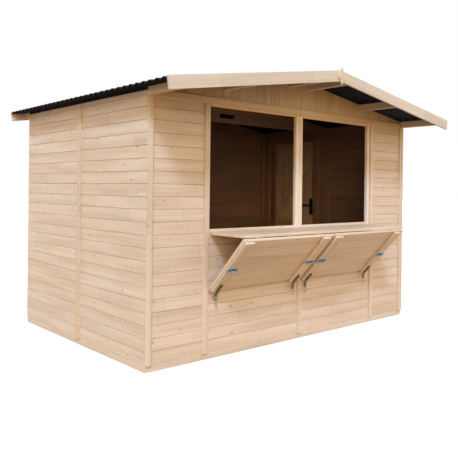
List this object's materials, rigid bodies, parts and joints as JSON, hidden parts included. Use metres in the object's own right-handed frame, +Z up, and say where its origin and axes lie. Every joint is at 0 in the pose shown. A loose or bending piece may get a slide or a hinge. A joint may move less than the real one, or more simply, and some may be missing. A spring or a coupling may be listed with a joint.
{
  "type": "wooden market stall",
  "caption": "Boarded timber stall with a low gable roof of corrugated sheet, two serving windows over folding counter flaps, and a side door.",
  "frame": {"origin": "centre of the wall footprint on the ground", "axes": "+X to the right along the serving front, +Y to the back, +Z up"},
  "size_m": [3.378, 2.603, 2.259],
  "materials": {
    "planed_spruce": "planed, untreated spruce boards",
    "roof_sheet": "corrugated bitumen fibre sheet, matt dark brown",
    "yellow_zinc": "yellow passivated zinc plate",
    "blue_zinc": "blue passivated zinc plate",
    "black_steel": "black enamel"
  },
  "bodies": {
    "stall": {"base_rails_side": "planed_spruce", "base_rails_cross": "planed_spruce", "front_panel_left": "planed_spruce", "front_panel_right": "planed_spruce", "front_panel_low_left": "planed_spruce", "front_panel_low_right": "planed_spruce", "left_panel_front": "planed_spruce", "left_panel_rear": "planed_spruce", "right_panel_front": "planed_spruce", "right_panel_lock_side": "planed_spruce", "right_panel_hinge_side": "planed_spruce", "right_panel_over_door": "planed_spruce", "back_panel_left": "planed_spruce", "back_panel_middle": "planed_spruce", "back_panel_right": "planed_spruce", "end_wall_posts": "planed_spruce", "long_wall_posts": "planed_spruce", "counter_posts": "planed_spruce", "wall_rails": "planed_spruce", "window_frame_left": "planed_spruce", "window_frame_right": "planed_spruce", "front_head_board": "planed_spruce", "front_battens": "planed_spruce", "rear_battens": "planed_spruce", "counter_left": "planed_spruce", "counter_right": "planed_spruce", "flap_left": "planed_spruce", "flap_right": "planed_spruce", "flap_cleats": "planed_spruce", "hatch_hinges": "yellow_zinc", "barrel_bolts": "blue_zinc", "toggle_latches": "yellow_zinc", "eave_purlins": "planed_spruce", "eave_seals": "roof_sheet", "middle_purlins": "planed_spruce", "ridge_purlins": "planed_spruce", "front_gable": "planed_spruce", "back_gable": "planed_spruce", "gable_rails": "planed_spruce", "middle_truss": "planed_spruce", "roof_sheet_left": "roof_sheet", "roof_sheet_right": "roof_sheet", "ridge_cap": "roof_sheet", "barge_boards_left": "planed_spruce", "barge_boards_right": "planed_spruce", "apex_plates": "planed_spruce", "door_hinge_plates": "blue_zinc", "door_keeper": "blue_zinc"},
    "door": {"door_leaf": "planed_spruce", "door_ledges": "planed_spruce", "door_braces": "planed_spruce", "door_hinge_straps": "blue_zinc", "door_handle_plates": "black_steel"},
    "lever": {"door_levers": "black_steel"}
  },
  "joints": [
    {"name": "door_swing", "type": "hinge", "parent": "stall", "child": "door", "pos_m": [1.561, 0.7575, 1], "axis": [0, 0, 1], "range_deg": [0, 100]},
    {"name": "lever_turn", "type": "hinge", "parent": "door", "child": "lever", "pos_m": [1.547, 0.206, 1.09], "axis": [1, 0, 0], "range_deg": [-40, 0], "stiffness_Nm_per_rad": 1, "springref_deg": 20.05}
  ]
}
